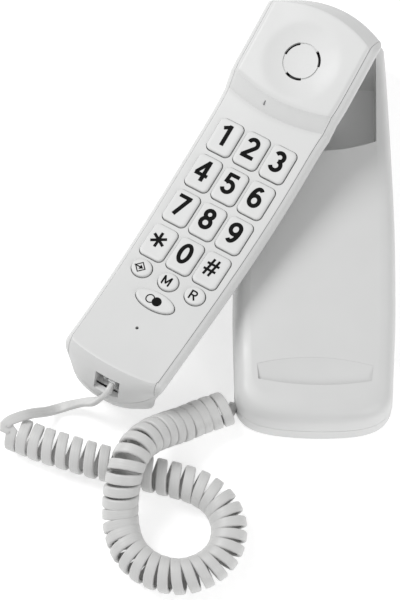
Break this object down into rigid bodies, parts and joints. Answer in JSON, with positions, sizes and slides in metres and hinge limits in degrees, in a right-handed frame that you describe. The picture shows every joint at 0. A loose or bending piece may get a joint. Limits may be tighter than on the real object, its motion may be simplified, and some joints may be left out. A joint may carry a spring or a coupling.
{
  "type": "corded telephone",
  "caption": "Slimline corded telephone: flat wall base, handset with its keypad in the grip laid across it, and a white curly cord looped in front.",
  "frame": {"origin": "middle of the base's flat rear face", "axes": "+Z out of the wall face, +Y towards the base's top end, +X to its right seen from the front"},
  "size_m": [0.1931, 0.2995, 0.076],
  "materials": {
    "shell_white": "satin moulded",
    "key_white": "fine matt",
    "cord_white": "soft sheen",
    "clear_plug": "polished",
    "dark_plastic": "matt",
    "board_green": "solder mask",
    "steel": "zinc plated",
    "brass_disc": "brass",
    "rubber_pale": "silicone",
    "foam_dark": "foam",
    "lens_smoke": "tinted"
  },
  "bodies": {
    "base": {"base_housing": "shell_white", "base_rear_cover": "shell_white", "base_circuit_board": "board_green", "base_handset_socket": "dark_plastic", "line_socket": "dark_plastic", "ringer_disc": "brass_disc", "base_screw_1": "steel", "base_screw_2": "steel", "base_screw_3": "steel", "base_screw_4": "steel", "hook_lever_pin": "steel", "hook_switch_body": "dark_plastic", "ringer_switch_body": "dark_plastic", "base_plug": "clear_plug", "cord_coil": "cord_white", "cord_lead_base": "cord_white"},
    "handset": {"handset_front_cover": "shell_white", "handset_back_cover": "shell_white", "keypad_membrane": "rubber_pale", "handset_circuit_board": "board_green", "earpiece_speaker": "dark_plastic", "speaker_gasket": "foam_dark", "microphone": "steel", "indicator_lens": "lens_smoke", "handset_socket": "dark_plastic", "handset_weight": "steel", "handset_screw_1": "steel", "handset_screw_2": "steel", "handset_plug": "clear_plug", "cord_lead_handset": "cord_white"},
    "hook_lever": {"hook_lever": "shell_white"},
    "ringer_knob": {"ringer_switch_knob": "dark_plastic"},
    "key_1": {"key_1": "key_white"},
    "key_2": {"key_2": "key_white"},
    "key_3": {"key_3": "key_white"},
    "key_4": {"key_4": "key_white"},
    "key_5": {"key_5": "key_white"},
    "key_6": {"key_6": "key_white"},
    "key_7": {"key_7": "key_white"},
    "key_8": {"key_8": "key_white"},
    "key_9": {"key_9": "key_white"},
    "key_star": {"key_star": "key_white"},
    "key_0": {"key_0": "key_white"},
    "key_hash": {"key_hash": "key_white"},
    "key_program": {"key_program": "key_white"},
    "key_memory": {"key_memory": "key_white"},
    "key_flash": {"key_flash": "key_white"},
    "key_redial": {"key_redial": "key_white"}
  },
  "joints": [
    {"name": "handset_lift", "type": "slide", "parent": "base", "child": "handset", "axis": [0, 0, 1], "range_m": [0, 0.08]},
    {"name": "press_1", "type": "slide", "parent": "handset", "child": "key_1", "axis": [0.1822, 0.1318, -0.9744], "range_m": [0, 0.001], "stiffness_N_per_m": 300, "springref_m": -0.0015},
    {"name": "press_2", "type": "slide", "parent": "handset", "child": "key_2", "axis": [0.1822, 0.1318, -0.9744], "range_m": [0, 0.001], "stiffness_N_per_m": 300, "springref_m": -0.0015},
    {"name": "press_3", "type": "slide", "parent": "handset", "child": "key_3", "axis": [0.1822, 0.1318, -0.9744], "range_m": [0, 0.001], "stiffness_N_per_m": 300, "springref_m": -0.0015},
    {"name": "press_4", "type": "slide", "parent": "handset", "child": "key_4", "axis": [0.1593, 0.092, -0.9829], "range_m": [0, 0.001], "stiffness_N_per_m": 300, "springref_m": -0.0015},
    {"name": "press_5", "type": "slide", "parent": "handset", "child": "key_5", "axis": [0.1593, 0.092, -0.9829], "range_m": [0, 0.001], "stiffness_N_per_m": 300, "springref_m": -0.0015},
    {"name": "press_6", "type": "slide", "parent": "handset", "child": "key_6", "axis": [0.1593, 0.092, -0.9829], "range_m": [0, 0.001], "stiffness_N_per_m": 300, "springref_m": -0.0015},
    {"name": "press_7", "type": "slide", "parent": "handset", "child": "key_7", "axis": [0.136, 0.0518, -0.9893], "range_m": [0, 0.001], "stiffness_N_per_m": 300, "springref_m": -0.0015},
    {"name": "press_8", "type": "slide", "parent": "handset", "child": "key_8", "axis": [0.136, 0.0518, -0.9893], "range_m": [0, 0.001], "stiffness_N_per_m": 300, "springref_m": -0.0015},
    {"name": "press_9", "type": "slide", "parent": "handset", "child": "key_9", "axis": [0.136, 0.0518, -0.9893], "range_m": [0, 0.001], "stiffness_N_per_m": 300, "springref_m": -0.0015},
    {"name": "press_star", "type": "slide", "parent": "handset", "child": "key_star", "axis": [0.1125, 0.0116, -0.9936], "range_m": [0, 0.001], "stiffness_N_per_m": 300, "springref_m": -0.0015},
    {"name": "press_0", "type": "slide", "parent": "handset", "child": "key_0", "axis": [0.1125, 0.0116, -0.9936], "range_m": [0, 0.001], "stiffness_N_per_m": 300, "springref_m": -0.0015},
    {"name": "press_hash", "type": "slide", "parent": "handset", "child": "key_hash", "axis": [0.1125, 0.0116, -0.9936], "range_m": [0, 0.001], "stiffness_N_per_m": 300, "springref_m": -0.0015},
    {"name": "press_program", "type": "slide", "parent": "handset", "child": "key_program", "axis": [0.0949, -0.0181, -0.9953], "range_m": [0, 0.001], "stiffness_N_per_m": 300, "springref_m": -0.0015},
    {"name": "press_memory", "type": "slide", "parent": "handset", "child": "key_memory", "axis": [0.0949, -0.0181, -0.9953], "range_m": [0, 0.001], "stiffness_N_per_m": 300, "springref_m": -0.0015},
    {"name": "press_flash", "type": "slide", "parent": "handset", "child": "key_flash", "axis": [0.0949, -0.0181, -0.9953], "range_m": [0, 0.001], "stiffness_N_per_m": 300, "springref_m": -0.0015},
    {"name": "press_redial", "type": "slide", "parent": "handset", "child": "key_redial", "axis": [0.0815, -0.0407, -0.9958], "range_m": [0, 0.001], "stiffness_N_per_m": 300, "springref_m": -0.0015},
    {"name": "hook_press", "type": "hinge", "parent": "base", "child": "hook_lever", "pos_m": [0, 0.072, 0.0067], "axis": [1, 0, 0], "range_deg": [0, 8], "stiffness_Nm_per_rad": 0.03, "springref_deg": -20.05},
    {"name": "ringer_slide", "type": "slide", "parent": "base", "child": "ringer_knob", "axis": [0, 1, 0], "range_m": [0, 0.0048]}
  ]
}
